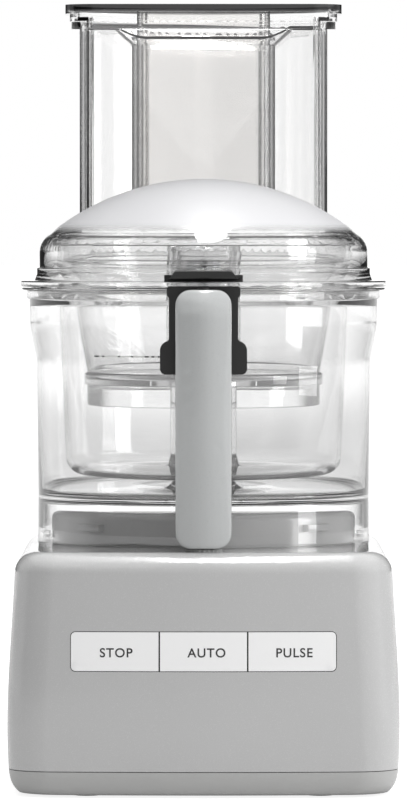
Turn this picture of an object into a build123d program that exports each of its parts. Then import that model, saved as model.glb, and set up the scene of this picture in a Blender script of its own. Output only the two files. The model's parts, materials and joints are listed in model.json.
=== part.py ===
from build123d import *
import os

# A compact food processor: a motor base with three keys, a stack of three clear bowls,
# a domed lid with a feed tube at its back, and two pushers standing in the tube.
# Millimetres, +Z up, front towards -Y, origin in the middle of the footprint on the table.

# ------------------------------------------------------------------ driving dimensions
full_height = 425.0
base_depth = 264.0
widest_half = 104.5          # half of the base's largest width
base_top = 130.0             # flat top of the motor base
seam = 14.4                  # joint between the lower casing and the motor housing
bowl_y = 12.0                # common axis of the motor and the bowls, behind the middle
casing_wall = 3.0
clear_wall = 2.4             # moulded clear plastic
hairline = 0.4               # visible gap round a key and along the seam
play = 0.4                   # gap between parts that slide past each other

panel_width = 141.2          # three keys side by side
panel_height = 21.4
panel_z = 78.1
key_divider = 23.4           # the two gaps between the keys stand at plus and minus this
key_travel = 1.5

floor_z = 155.7              # upper face of the main bowl's floor
bowl_radius = 90.9           # outside, just above the floor
rim_z = 269.4                # top of the main bowl's flange
rim_radius = 99.8
plinth_radius = 83.3
plinth_top = 148.6

lid_z = 270.0                # underside of the lid's flange
lid_flange_radius = 100.4
dome_top = 329.0
dome_radius = 133.7          # radius of the dome's own curve
shoulder_round = 12.0        # arc between the lid's wall and the dome

feed_half_width = 68.3       # feed tube, outside
feed_back_radius = 78.0      # its back wall follows a circle about the bowl axis
feed_front = 6.0             # its front wall stands this far behind the bowl axis
feed_top = 415.4
pusher_bottom = 304.0

handle_y = -106.0            # middle of the grip; the safety rod runs down it
handle_bottom = 131.8
handle_top = 269.3
rod_travel = 3.5
collar_radius = 4.4          # collars of the rod and the plunger, each on its spring
spring_radius = 4.3
spring_wire = 0.8

motor_shaft_radius = 6.0

os.makedirs("parts", exist_ok=True)

spin_plane = Plane(origin=(0, bowl_y, 0), x_dir=(1, 0, 0), z_dir=(0, -1, 0))
spin_axis = Axis((0, bowl_y, 0), (0, 0, 1))


def save(piece, name):
    piece.part.label = name
    export_step(piece.part, f"parts/{name}.step")


# ------------------------------------------------------------------ shared shapes
def turned(corners):
    """Solid of revolution about the bowl axis. A corner is radius, height and rounding."""
    points = [(radius, height) for radius, height, rounding in corners]
    roundings = [rounding for radius, height, rounding in corners]
    with BuildPart() as body:
        with BuildSketch(spin_plane):
            with BuildLine():
                FilletPolyline(*points, radius=roundings, close=True)
            make_face()
        revolve(axis=spin_axis)
    return body.part


def ring(inner, outer, low, high):
    """Plain ring about the bowl axis."""
    return turned([(inner, low, 0), (outer, low, 0), (outer, high, 0), (inner, high, 0)])


def base_outline(half_width, inset):
    """Plan of the base: straight sides and back, a bowed front and round corners."""
    front_bow = 6.0
    corner = 24.0
    half = half_width - inset
    depth = base_depth / 2 - (widest_half - half_width) - inset
    with BuildSketch() as plan:
        with BuildLine():
            front = ThreePointArc((-half, front_bow - depth), (0, -depth), (half, front_bow - depth))
            Polyline(front @ 1, (half, depth), (-half, depth), front @ 0)
        make_face()
        fillet(plan.vertices(), radius=corner - inset)
    return plan.sketch


def base_block(levels, inset=0.0, edge_round=0.0):
    """Solid through the base's plans at several heights, its top edge rounded."""
    with BuildPart() as block:
        for height, half_width in levels:
            with BuildSketch(Plane.XY.offset(height)):
                add(base_outline(half_width, inset))
        loft()
        if edge_round > 0:
            fillet(block.faces().sort_by(Axis.Z)[-1].edges(), radius=edge_round)
    return block.part


def feed_outline(grow):
    """Plan of the feed tube, grown outwards by some distance: flat front, round back."""
    width = 2 * (feed_half_width + grow)
    back = feed_back_radius + grow
    front = feed_front - grow
    with BuildSketch() as plan:
        with Locations((0, bowl_y)):
            Circle(back)
        with Locations((0, bowl_y + front + back / 2)):
            Rectangle(width, back, mode=Mode.INTERSECT)
        fillet(plan.vertices().group_by(Axis.Y)[0], radius=8 + grow)
        fillet(plan.vertices().group_by(Axis.Y)[-1], radius=8 + grow)
    return plan.sketch


def small_tube_outline(grow):
    """Plan of the small tube inside the large pusher."""
    half_width, half_depth, corner = 36.8, 21.8, 8.0
    with BuildSketch() as plan:
        with Locations((0, bowl_y + 39.6)):
            RectangleRounded(2 * (half_width + grow), 2 * (half_depth + grow), corner + grow)
    return plan.sketch


def upright(outline, low, high, slope=0):
    """Solid standing on an outline between two heights, its sides upright or sloping."""
    with BuildPart() as block:
        with BuildSketch(Plane.XY.offset(low)):
            add(outline)
        extrude(amount=high - low, taper=slope)
    return block.part


def spring(radius, wire, low, high, turns, y):
    """Round-wire compression spring standing upright."""
    middle = radius - wire / 2
    height = high - low - wire
    start = (0, y, low + wire / 2)
    with BuildPart() as coil:
        with BuildLine() as path:
            Helix(pitch=height / turns, height=height, radius=middle, center=start)
        with BuildSketch(Plane(origin=path.line @ 0, z_dir=path.line % 0)):
            Circle(wire / 2)
        sweep(is_frenet=True)
    return coil


# ------------------------------------------------------------------ motor base: casings
housing_levels = [(seam, 103.9), (27, widest_half), (76, 103.2), (base_top, 100.4)]
ceiling = 124.0              # underside of the housing's top
cavity_levels = [(seam - 1, 103.9), (27, widest_half), (76, 103.2), (ceiling, 100.8)]
screw_spots = [(x, y) for x in (-82, 82) for y in (-104, 104)]
cord_spot = (60.0, 28.0)     # X and Z of the cord inlet in the back wall
grommet_radius = 8.0
gaiter_neck = 6.0
plinth_flange = 91.0
front_plane = Plane.XZ.offset(base_depth / 2 + 2)
back_plane = Plane.XZ.offset(-base_depth / 2 - 2)

housing_skin = base_block(housing_levels, edge_round=12.0)
housing_cavity = base_block(cavity_levels, inset=casing_wall, edge_round=9.0)

with BuildPart() as motor_housing:
    add(housing_skin)
    add(housing_cavity, mode=Mode.SUBTRACT)
    with BuildSketch(Plane.XY.offset(seam)):
        with Locations(*screw_spots):
            Circle(5)
    extrude(amount=ceiling - seam + 1)
    with BuildSketch(Plane.XY.offset(seam)):
        with Locations(*screw_spots):
            Circle(1.75)
    extrude(amount=14, mode=Mode.SUBTRACT)
    with BuildSketch(Plane.XY.offset(base_top)):
        with Locations((0, bowl_y)):
            Circle(plinth_flange)
    extrude(amount=-2, mode=Mode.SUBTRACT)
    with BuildSketch(Plane.XY.offset(base_top)):
        with Locations((0, bowl_y)):
            Circle(30)
        with Locations((0, handle_y)):
            Circle(gaiter_neck)
    extrude(amount=-20, mode=Mode.SUBTRACT)
    with BuildSketch(front_plane):
        with Locations((0, panel_z)):
            RectangleRounded(panel_width, panel_height, 2.9)
    extrude(amount=-10, mode=Mode.SUBTRACT)
    with BuildSketch(back_plane):
        with Locations((0, 66)):
            with GridLocations(9, 1, 11, 1):
                SlotOverall(34, 3.6, rotation=90)
        with Locations(cord_spot):
            Circle(grommet_radius)
    extrude(amount=12, mode=Mode.SUBTRACT)
save(motor_housing, "motor_housing")

pan_floor = 4.5
foot_radius = 9.0
foot_spots = [(x, y) for x in (-62, 62) for y in (-102, 102)]
pan_levels = [(1.5, 98.6), (5, 101.4), (seam - hairline, 103.8)]
pan_cavity_levels = [(pan_floor, 101.4), (seam, 103.8)]
pan_skin = base_block(pan_levels)
pan_cavity = base_block(pan_cavity_levels, inset=casing_wall)

with BuildPart() as base_pan:
    add(pan_skin)
    add(pan_cavity, mode=Mode.SUBTRACT)
    with BuildSketch(Plane.XY.offset(pan_floor - 1)):
        with Locations(*screw_spots):
            Circle(6)
    extrude(amount=seam - pan_floor + 1)
    with BuildSketch(Plane.XY):
        with Locations(*screw_spots):
            Circle(1.75)
    extrude(amount=seam + 1, mode=Mode.SUBTRACT)
    with BuildSketch(Plane.XY):
        with Locations(*screw_spots):
            Circle(3.6)
    extrude(amount=6, mode=Mode.SUBTRACT)
    with BuildSketch(Plane.XY.offset(1)):
        with Locations(*foot_spots):
            Circle(foot_radius)
    extrude(amount=1.6, mode=Mode.SUBTRACT)
    with BuildSketch(Plane.XY):
        with Locations((0, bowl_y)):
            with PolarLocations(30, 14):
                SlotOverall(22, 3.5)
    extrude(amount=pan_floor + 1, mode=Mode.SUBTRACT)
save(base_pan, "base_pan")

with BuildPart() as rubber_feet:
    with BuildSketch(Plane.XY):
        with Locations(*foot_spots):
            Circle(foot_radius)
    extrude(amount=2.6)
    chamfer(rubber_feet.edges().group_by(Axis.Z)[0], length=0.8)
save(rubber_feet, "rubber_feet")

with BuildPart() as pan_screws:
    with BuildSketch(Plane.XY.offset(3)):
        with Locations(*screw_spots):
            Circle(3.4)
    extrude(amount=3)
    with BuildSketch(Plane.XY.offset(6)):
        with Locations(*screw_spots):
            Circle(1.75)
    extrude(amount=20)
save(pan_screws, "pan_screws")

# Hollow stand on which the bowl sits, with four lugs that lock the bowl's skirt.
seal_radius = 12.0
lug_low, lug_high = 138.0, 142.0
plinth_body = turned([
    (80.6, 128, 0), (plinth_flange, 128, 0), (plinth_flange, base_top, 0), (plinth_radius, base_top, 0),
    (plinth_radius, plinth_top, 4.5), (14.5, plinth_top, 0), (14.5, 151.6, 1), (seal_radius, 151.6, 0),
    (seal_radius, 146, 0), (80.6, 146, 2),
])
with BuildPart() as plinth:
    add(plinth_body)
    with BuildSketch(Plane.XY.offset(lug_low)):
        with Locations((0, bowl_y)):
            with PolarLocations(84.8, 4, start_angle=45):
                Rectangle(4.6, 16)
    extrude(amount=lug_high - lug_low)
save(plinth, "plinth")

# ------------------------------------------------------------------ keys and electronics
side_key_width = panel_width / 2 - key_divider - 2 * hairline
middle_key_width = 2 * key_divider - 2 * hairline
side_key_x = key_divider + hairline + side_key_width / 2
key_back = 125.0             # flat back of a key, measured forward from the origin
stem_end = 116.0
stem_radius = 3.0

for key_name, key_x, key_width in (
    ("key_stop", -side_key_x, side_key_width),
    ("key_auto", 0, middle_key_width),
    ("key_pulse", side_key_x, side_key_width),
):
    with BuildPart() as key:
        with BuildSketch(front_plane):
            with Locations((0, panel_z)):
                RectangleRounded(panel_width - 2 * hairline, panel_height - 2 * hairline, 2.5)
            with Locations((key_x, panel_z)):
                Rectangle(key_width, panel_height, mode=Mode.INTERSECT)
        extrude(amount=key_back - base_depth / 2 - 2)
        add(housing_skin, mode=Mode.INTERSECT)
        with BuildSketch(Plane.XZ.offset(key_back)):
            with Locations((key_x, panel_z)):
                Circle(stem_radius)
        extrude(amount=stem_end - key_back)
    save(key, key_name)

key_spots = [(-side_key_x, panel_z), (0, panel_z), (side_key_x, panel_z)]
tray_front = 122.9
tray_back = 120.4
board_y = 107.0
post_spots = [(x, z) for x in (-66, 66) for z in (65, 89)]

with BuildPart() as key_tray:
    with BuildSketch(front_plane):
        with Locations((0, panel_z)):
            Rectangle(152, 34)
    extrude(amount=tray_back - base_depth / 2 - 2)
    add(housing_cavity, mode=Mode.INTERSECT)
    with BuildSketch(front_plane):
        with Locations((0, panel_z)):
            RectangleRounded(panel_width + 1, panel_height + 1, 3)
    extrude(amount=tray_front - base_depth / 2 - 2, mode=Mode.SUBTRACT)
    with BuildSketch(Plane.XZ.offset(tray_back)):
        with Locations(*post_spots):
            Circle(2.5)
    extrude(amount=board_y - tray_back)
    with BuildSketch(front_plane):
        with Locations(*key_spots):
            Circle(stem_radius + play)
    extrude(amount=-20, mode=Mode.SUBTRACT)
save(key_tray, "key_tray")

board_top = 92.0
with BuildPart() as control_board:
    with BuildSketch(Plane.XZ.offset(board_y)):
        with Locations((0, (60 + board_top) / 2)):
            Rectangle(144, board_top - 60)
    extrude(amount=-1.6)
save(control_board, "control_board")

with BuildPart() as key_switches:
    with BuildSketch(Plane.XZ.offset(board_y)):
        with Locations(*key_spots):
            RectangleRounded(12, 12, 1)
    extrude(amount=5)
    with BuildSketch(Plane.XZ.offset(board_y + 5)):
        with Locations(*key_spots):
            Circle(2.5)
    extrude(amount=stem_end - key_travel - play - board_y - 5)
save(key_switches, "key_switches")

# ------------------------------------------------------------------ safety plunger in the base
switch_top = 101.2
plunger_low = switch_top + rod_travel + play
plunger_high = 131.0
collar_low = 118.0
plunger_radius = 3.0

with BuildPart() as interlock_switch:
    with BuildSketch(Plane.XY.offset(board_top)):
        with Locations((0, handle_y)):
            Rectangle(14, 12)
    extrude(amount=switch_top - board_top)
save(interlock_switch, "interlock_switch")

with BuildPart() as interlock_plunger:
    with BuildSketch(Plane.XY.offset(plunger_low)):
        with Locations((0, handle_y)):
            Circle(plunger_radius)
    extrude(amount=plunger_high - plunger_low)
    with BuildSketch(Plane.XY.offset(collar_low)):
        with Locations((0, handle_y)):
            Circle(collar_radius)
    extrude(amount=2)
save(interlock_plunger, "interlock_plunger")

plunger_spring = spring(spring_radius, spring_wire, switch_top, collar_low, 6, handle_y)
save(plunger_spring, "plunger_spring")

gaiter_radius = 10.0
gaiter_top = 131.4
with BuildPart() as plunger_gaiter:
    with BuildSketch(Plane.XY.offset(ceiling)):
        with Locations((0, handle_y)):
            Circle(gaiter_neck)
    extrude(amount=base_top - ceiling)
    with BuildSketch(Plane.XY.offset(base_top)):
        with Locations((0, handle_y)):
            Circle(gaiter_radius)
    extrude(amount=gaiter_top - base_top)
    with BuildSketch(Plane.XY.offset(base_top)):
        with Locations((0, handle_y)):
            with PolarLocations(gaiter_radius, 24):
                Circle(0.5)
    extrude(amount=gaiter_top - base_top, mode=Mode.SUBTRACT)
    with BuildSketch(Plane.XY.offset(ceiling)):
        with Locations((0, handle_y)):
            Circle(plunger_radius + play)
    extrude(amount=gaiter_top - ceiling + 1, mode=Mode.SUBTRACT)
save(plunger_gaiter, "plunger_gaiter")

# ------------------------------------------------------------------ motor
bearing_radius = 16.0        # outside of a ball bearing 12 x 32 x 10
bearing_height = 10.0
lower_bearing = 20.0
upper_bearing = 106.0
stator_low, stator_high = 44.0, 92.0
stator_inner, stator_outer = 31.0, 53.0
bracket_radius = 60.0
bolt_circle = 56.5
bolt_radius = 2.0


def motor_bracket(low, high, seat_low):
    """End bracket: a windowed disc with a seat for its bearing and four bolt holes."""
    with BuildPart() as bracket:
        add(ring(bearing_radius, bearing_radius + 5, seat_low, seat_low + bearing_height))
        add(ring(bearing_radius, bracket_radius, low, high))
        with BuildSketch(Plane.XY.offset(low)):
            with Locations((0, bowl_y)):
                with PolarLocations(bolt_circle, 4):
                    Circle(bolt_radius)
                with PolarLocations(38, 8, start_angle=22.5):
                    Circle(9)
        extrude(amount=high - low, mode=Mode.SUBTRACT)
    return bracket


motor_bracket_lower = motor_bracket(22, 26, lower_bearing)
save(motor_bracket_lower, "motor_bracket_lower")
motor_bracket_upper = motor_bracket(112, 116, upper_bearing)
save(motor_bracket_upper, "motor_bracket_upper")

for bearing_name, bearing_low in (("bearing_lower", lower_bearing), ("bearing_upper", upper_bearing)):
    with BuildPart() as bearing:
        add(ring(motor_shaft_radius + 0.05, bearing_radius, bearing_low, bearing_low + bearing_height))
        chamfer(bearing.edges().filter_by(GeomType.CIRCLE).sort_by(SortBy.RADIUS)[-2:], length=0.6)
    save(bearing, bearing_name)

with BuildPart() as stator_core:
    add(ring(stator_inner, stator_outer, stator_low, stator_high))
    with BuildSketch(Plane.XY.offset(stator_low)):
        with Locations((0, bowl_y)):
            with PolarLocations(39, 24):
                SlotOverall(10, 3)
    extrude(amount=stator_high - stator_low, mode=Mode.SUBTRACT)
save(stator_core, "stator_core")

with BuildPart() as stator_windings:
    for low, high in ((stator_low - 12, stator_low), (stator_high, stator_high + 12)):
        add(turned([(33, low, 4), (47, low, 4), (47, high, 0), (33, high, 0)]))
save(stator_windings, "stator_windings")

with BuildPart() as motor_bolts:
    for low, high, radius in ((18.5, 22, 3.6), (22, 119, bolt_radius), (116, 119, 3.6)):
        with BuildSketch(Plane.XY.offset(low)):
            with Locations((0, bowl_y)):
                with PolarLocations(bolt_circle, 4):
                    Circle(radius)
        extrude(amount=high - low)
save(motor_bolts, "motor_bolts")

with BuildPart() as motor_dampers:
    with BuildSketch(Plane.XY.offset(116)):
        with Locations((0, bowl_y)):
            with PolarLocations(50, 4, start_angle=45):
                Circle(7)
    extrude(amount=ceiling - 116)
save(motor_dampers, "motor_dampers")

with BuildPart() as run_capacitor:
    with BuildSketch(Plane.XY.offset(pan_floor)):
        with Locations((-78, 66)):
            Circle(17)
    extrude(amount=62)
    chamfer(run_capacitor.edges().group_by(Axis.Z)[-1], length=2)
save(run_capacitor, "run_capacitor")

with BuildPart() as cord_grommet:
    with BuildSketch(Plane.XZ.offset(-base_depth / 2 + 6)):
        with Locations(cord_spot):
            Circle(grommet_radius)
            Circle(3.75, mode=Mode.SUBTRACT)
    extrude(amount=-6)
save(cord_grommet, "cord_grommet")

with BuildPart() as shaft_seal:
    add(ring(motor_shaft_radius + 0.2, seal_radius, 146, 152.4))
save(shaft_seal, "shaft_seal")

# ------------------------------------------------------------------ rotor
with BuildPart() as motor_shaft:
    add(turned([(0, 6.5, 0), (motor_shaft_radius, 6.5, 0), (motor_shaft_radius, 268, 1), (0, 268, 0)]))
save(motor_shaft, "motor_shaft")

with BuildPart() as rotor_core:
    add(ring(motor_shaft_radius, stator_inner - 0.6, stator_low, stator_high))
    add(ring(20, stator_inner - 2, stator_low - 5, stator_high + 5))
save(rotor_core, "rotor_core")

fan_radius = 44.0
with BuildPart() as cooling_fan:
    add(ring(motor_shaft_radius, 11, 7, 18))
    add(ring(motor_shaft_radius, fan_radius, 16, 18))
    with BuildSketch(Plane.XY.offset(8)):
        with Locations((0, bowl_y)):
            with PolarLocations(31, 11):
                Rectangle(24, 1.8, rotation=18)
    extrude(amount=8.5)
save(cooling_fan, "cooling_fan")

# Steel sleeve pressed on the shaft, with flats that drive a blade or disc.
spindle_radius = 10.0
spindle_top = 276.0
with BuildPart() as drive_spindle:
    add(turned([
        (motor_shaft_radius, 154, 0), (spindle_radius, 154, 0.8), (spindle_radius, spindle_top, 2.5),
        (0, spindle_top, 0), (0, 268, 0), (motor_shaft_radius, 268, 0),
    ]))
    with BuildSketch(Plane.XY.offset(205)):
        with Locations((0, bowl_y)):
            with PolarLocations(spindle_radius + 3.6, 3):
                Rectangle(10, 24)
    extrude(amount=spindle_top - 205, mode=Mode.SUBTRACT)
save(drive_spindle, "drive_spindle")

# ------------------------------------------------------------------ bowls
skirt_low = base_top + 0.3
tube_inner = 13.8            # centre tube of the main bowl, inside
tube_wall = 2.0


def tube_inside(order):
    """Inner radius of a bowl's centre tube: each one slips over the tube below."""
    return tube_inner + order * (tube_wall + play)


main_tube_top = 284.0
bowl_outside = [
    (bowl_radius + 0.2, skirt_low, 0), (bowl_radius, floor_z, 0), (91.6, 229, 20), (95.5, 248, 30),
    (95.7, 263.4, 0), (97, 263.4, 0), (97, 268, 0.5), (rim_radius, 268, 0.5), (rim_radius, rim_z, 0.5),
]
bowl_envelope = turned([(0, skirt_low, 0)] + bowl_outside + [(0, rim_z, 0)])
main_bowl_body = turned(bowl_outside + [
    (94.8, rim_z, 0.6), (94.8, 263, 2), (93.2, 260, 3), (93.1, 248, 28), (89.2, 229, 20),
    (bowl_radius - clear_wall, floor_z, 4), (18.5, floor_z, 6), (15.8, 164.8, 0),
    (tube_inner + tube_wall, main_tube_top, 0.5), (tube_inner, main_tube_top, 0.5),
    (tube_inner, floor_z - clear_wall, 0), (bowl_radius - clear_wall, floor_z - clear_wall, 1),
    (bowl_radius - clear_wall, skirt_low, 0),
])
with BuildPart() as main_bowl:
    add(main_bowl_body)
    with BuildSketch(Plane.XY.offset(skirt_low + 2)):
        with Locations((0, bowl_y)):
            with PolarLocations(86.7, 4):
                Rectangle(4.8, 14)
    extrude(amount=4)
save(main_bowl, "main_bowl")

midi_tube = tube_inside(1)
midi_bottom = 164.9
midi_floor = midi_bottom + clear_wall
with BuildPart() as midi_bowl:
    add(turned([
        (midi_tube, midi_bottom, 0), (75.6, midi_bottom, 9), (79.3, 262, 10), (80.8, 284, 10),
        (81, 292.3, 0), (83.2, 292.3, 0.8), (83.2, 296.3, 1.2), (78.6, 296.3, 0.5),
        (78.4, 284, 8), (76.9, 262, 8), (73.3, midi_floor, 7), (midi_tube + 4, midi_floor, 3),
        (midi_tube + tube_wall, midi_floor + 8, 2), (midi_tube + tube_wall, 288, 0.5), (midi_tube, 288, 0.5),
    ]))
save(midi_bowl, "midi_bowl")

mini_tube = tube_inside(2)
mini_floor = 219.0
with BuildPart() as mini_bowl:
    add(turned([
        (mini_tube, mini_floor - clear_wall, 0), (61.6, mini_floor - clear_wall, 1), (61.6, 204.3, 0.5),
        (64, 204.3, 0.5), (64, 216, 0), (65.5, 216, 0.5), (65.5, 222, 0.8), (64, 223, 0),
        (74, 281.2, 0), (77.4, 281.2, 0.8), (77.4, 296.6, 0), (80, 296.6, 0.5),
        (80, 298.4, 0.5), (75, 298.4, 0.5), (75, 283.6, 1), (72, 283.6, 0),
        (61.4, mini_floor, 6), (mini_tube + 4, mini_floor, 3),
        (mini_tube + 1.8, mini_floor + 8, 2), (mini_tube + 1.8, 292, 0.4), (mini_tube, 292, 0.4),
    ]))
save(mini_bowl, "mini_bowl")

# ------------------------------------------------------------------ handle
handle_half = 14.95
handle_front = -121.0
handle_back = -98.5
bracket_half = 23.25
neck_half = 18.45
bracket_low, bracket_shoulder = 224.0, 240.0
handle_wall = 2.6
handle_screw_z = 232.0
handle_screw_x = 8.5
rod_radius = 3.0
spring_seat = 200.0
seat_inset = handle_wall - 0.5   # the seat plate's edge lies inside the grip's wall


def grip_block(inset):
    """The grip: a rounded plan, a gently bowed front from the side, an arched top from the front."""
    depth = handle_back - handle_front - 2 * inset
    height = handle_top - handle_bottom - 2 * inset
    with BuildPart() as grip:
        with BuildSketch(Plane.XY.offset(handle_bottom + inset)):
            with Locations((0, (handle_front + handle_back) / 2)):
                RectangleRounded(2 * (handle_half - inset), depth, 5 - inset)
        extrude(amount=height)
        with BuildSketch(Plane.XZ.offset(140)):
            with Locations((0, (handle_top + handle_bottom) / 2)):
                RectangleRounded(2 * (handle_half - inset), height, 8 - inset)
        extrude(amount=-60, mode=Mode.INTERSECT)
        with BuildSketch(Plane.YZ):
            with BuildLine():
                front = ThreePointArc(
                    (handle_front + inset + 3, handle_bottom - 5),
                    (handle_front + inset, 200),
                    (handle_front + inset + 3, handle_top + 5),
                )
                Polyline(front @ 1, (handle_back, handle_top + 5), (handle_back, handle_bottom - 5), front @ 0)
            make_face()
        extrude(amount=handle_half, both=True, mode=Mode.INTERSECT)
    return grip.part


grip_skin = grip_block(0)
grip_cavity = grip_block(handle_wall)

with BuildPart() as handle_shell:
    add(grip_skin)
    add(grip_cavity, mode=Mode.SUBTRACT)
    with BuildSketch(Plane.XY.offset(spring_seat - 2.5)):
        with Locations((0, (handle_front + handle_back) / 2)):
            Rectangle(2 * (handle_half - seat_inset), handle_back - handle_front - 2 * seat_inset)
    extrude(amount=2.5)
    with BuildSketch(Plane.XZ.offset(-handle_back)):
        with Locations((-handle_screw_x, handle_screw_z), (handle_screw_x, handle_screw_z)):
            Circle(3.5)
    extrude(amount=12)
    with BuildSketch(Plane.XZ.offset(-handle_back)):
        with Locations((-handle_screw_x, handle_screw_z), (handle_screw_x, handle_screw_z)):
            Circle(1.5)
    extrude(amount=10, mode=Mode.SUBTRACT)
    with BuildSketch(Plane.XY.offset(handle_bottom - 1)):
        with Locations((0, handle_y)):
            Circle(rod_radius + play)
    extrude(amount=handle_top - handle_bottom + 2, mode=Mode.SUBTRACT)
save(handle_shell, "handle_shell")

flange_front = bowl_y - lid_flange_radius - play
with BuildPart() as handle_frame:
    with BuildSketch(Plane.XZ.offset(-handle_back)):
        with BuildLine():
            half = FilletPolyline(
                (0, bracket_low), (bracket_half, bracket_low), (bracket_half, bracket_shoulder),
                (neck_half, bracket_shoulder + 2), (neck_half, 266), (0, 266),
                radius=(3, 5, 2, 0),
            )
            mirror(half, about=Plane.YZ)
        make_face()
    extrude(amount=-26)
    add(bowl_envelope, mode=Mode.SUBTRACT)
    with BuildSketch(Plane.XZ.offset(-handle_back)):
        with Locations((0, 268)):
            RectangleRounded(39.3, 6, 1.5)
    extrude(amount=handle_back - flange_front)
    with BuildSketch(Plane.XZ.offset(-handle_back)):
        with Locations((-handle_screw_x, handle_screw_z), (handle_screw_x, handle_screw_z)):
            Circle(1.5)
    extrude(amount=-30, mode=Mode.SUBTRACT)
    with BuildSketch(Plane.XZ.offset(-handle_back - 8)):
        with Locations((-handle_screw_x, handle_screw_z), (handle_screw_x, handle_screw_z)):
            Circle(3)
    extrude(amount=-20, mode=Mode.SUBTRACT)
save(handle_frame, "handle_frame")

with BuildPart() as handle_screws:
    with BuildSketch(Plane.XZ.offset(-handle_back + 9)):
        with Locations((-handle_screw_x, handle_screw_z), (handle_screw_x, handle_screw_z)):
            Circle(1.5)
    extrude(amount=-17)
    with BuildSketch(Plane.XZ.offset(-handle_back - 8)):
        with Locations((-handle_screw_x, handle_screw_z), (handle_screw_x, handle_screw_z)):
            Circle(2.9)
    extrude(amount=-2.5)
save(handle_screws, "handle_screws")

rod_collar = 222.0
with BuildPart() as safety_rod:
    for low, high, radius in ((gaiter_top, 270.4, rod_radius), (rod_collar, rod_collar + 2, collar_radius)):
        with BuildSketch(Plane.XY.offset(low)):
            with Locations((0, handle_y)):
                Circle(radius)
        extrude(amount=high - low)
save(safety_rod, "safety_rod")

rod_spring = spring(spring_radius, spring_wire, spring_seat, rod_collar, 8, handle_y)
save(rod_spring, "rod_spring")

# ------------------------------------------------------------------ lid
dome_middle = dome_top - dome_radius
lid_wall_radius = 90.2


def lid_block(inset, low):
    """Solid under the lid's outer surface, or under its inner surface when inset."""
    reach = dome_radius - inset
    wall = lid_wall_radius - inset
    crest = dome_middle + reach
    spring_line = dome_middle + (reach**2 - wall**2) ** 0.5
    with BuildPart() as block:
        with BuildSketch(spin_plane) as profile:
            with BuildLine():
                dome = RadiusArc((0, crest), (wall, spring_line), reach)
                Polyline(dome @ 1, (wall, low), (0, low), dome @ 0)
            make_face()
            shoulder = profile.vertices().group_by(Axis.X)[-1].sort_by(Axis.Y)[-1]
            fillet(shoulder, radius=shoulder_round - inset)
        revolve(axis=spin_axis)
    return block.part


lid_skin = lid_block(0, lid_z)
lid_cavity = lid_block(clear_wall, 240)
lid_rim = turned([
    (84, lid_z, 0), (lid_flange_radius, lid_z, 0.5), (lid_flange_radius, 273.2, 0.8), (93, 273.2, 1),
    (91.6, 277, 0), (91.6, 280, 0.5), (89, 281, 0), (84, 281, 0),
])
lid_plug = turned([(87.8, 262, 0), (90.4, 262, 0), (92.6, lid_z, 0), (87.8, lid_z, 0)])

with BuildPart() as lid:
    add(lid_skin)
    add(lid_rim)
    add(lid_plug)
    add(upright(feed_outline(0), lid_z + 24, feed_top))
    add(upright(feed_outline(4.5), feed_top - 3.9, feed_top))
    add(lid_cavity, mode=Mode.SUBTRACT)
    add(upright(feed_outline(-clear_wall), lid_z + 10, feed_top + 1), mode=Mode.SUBTRACT)
save(lid, "lid")

tab_low, tab_high = 275.0, 279.7
with BuildPart() as lid_tab:
    with BuildSketch(Plane.XZ.offset(105)):
        with BuildLine():
            Polyline((-18.3, tab_low), (18.3, tab_low), (14.9, tab_high), (-14.9, tab_high), close=True)
        make_face()
    extrude(amount=-35)
    with BuildSketch(Plane.XZ.offset(93)):
        with Locations((0, 275.1)):
            Rectangle(42, 3.8)
    extrude(amount=-23)
    add(lid_skin, mode=Mode.SUBTRACT)
    add(lid_rim, mode=Mode.SUBTRACT)
    outer_edges = lid_tab.faces().sort_by(Axis.Y)[0].edges()
    fillet(outer_edges, radius=1.2)
save(lid_tab, "lid_tab")

# ------------------------------------------------------------------ pushers
pusher_grow = -3.8           # large pusher's wall inside the feed tube's outline
tube_thickness = 2.0
hollow_grow = pusher_grow - tube_thickness
deck_low, deck_high = 411.2, 413.2
funnel_low = 403.5
funnel_slope = -50           # the funnel opens upwards at this angle from upright
small_clearance = 0.8
small_tube_grow = small_clearance + tube_thickness
sole_top = pusher_bottom + 2.5
step_grow, rim_grow = 5.4, 7.9   # the stepped rim that rests on top of the feed tube
rim_wall = 2.2
rim_low = 420.0

# The tube for the small pusher, outside and inside, each with its funnel at the top.
# The funnel stops at the pusher's own wall.
with BuildPart() as small_tube_core:
    add(upright(small_tube_outline(small_tube_grow), funnel_low, deck_low + 0.5, funnel_slope))
    add(upright(feed_outline(pusher_grow), funnel_low, full_height), mode=Mode.INTERSECT)
    add(upright(small_tube_outline(small_tube_grow), pusher_bottom, deck_high))

with BuildPart() as small_tube_hole:
    add(upright(small_tube_outline(small_clearance), funnel_low, deck_high, funnel_slope))
    add(upright(feed_outline(hollow_grow), funnel_low, full_height), mode=Mode.INTERSECT)
    add(upright(small_tube_outline(small_clearance), pusher_bottom - 1, full_height))

with BuildPart() as large_pusher:
    add(upright(feed_outline(pusher_grow), pusher_bottom, rim_low))
    add(upright(feed_outline(step_grow), feed_top + play, rim_low))
    add(upright(feed_outline(rim_grow), rim_low, full_height))
    add(upright(feed_outline(hollow_grow), deck_high, full_height), mode=Mode.SUBTRACT)
    add(upright(feed_outline(step_grow - rim_wall), rim_low - 2, full_height), mode=Mode.SUBTRACT)
    add(upright(feed_outline(rim_grow - rim_wall), rim_low + 1, full_height), mode=Mode.SUBTRACT)
    add(upright(feed_outline(hollow_grow), pusher_bottom - 1, deck_low), mode=Mode.SUBTRACT)
    add(small_tube_core.part)
    add(small_tube_hole.part, mode=Mode.SUBTRACT)
save(large_pusher, "large_pusher")

with BuildPart() as pusher_sole:
    add(upright(feed_outline(hollow_grow), pusher_bottom, sole_top))
    add(small_tube_core.part, mode=Mode.SUBTRACT)
save(pusher_sole, "pusher_sole")

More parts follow.
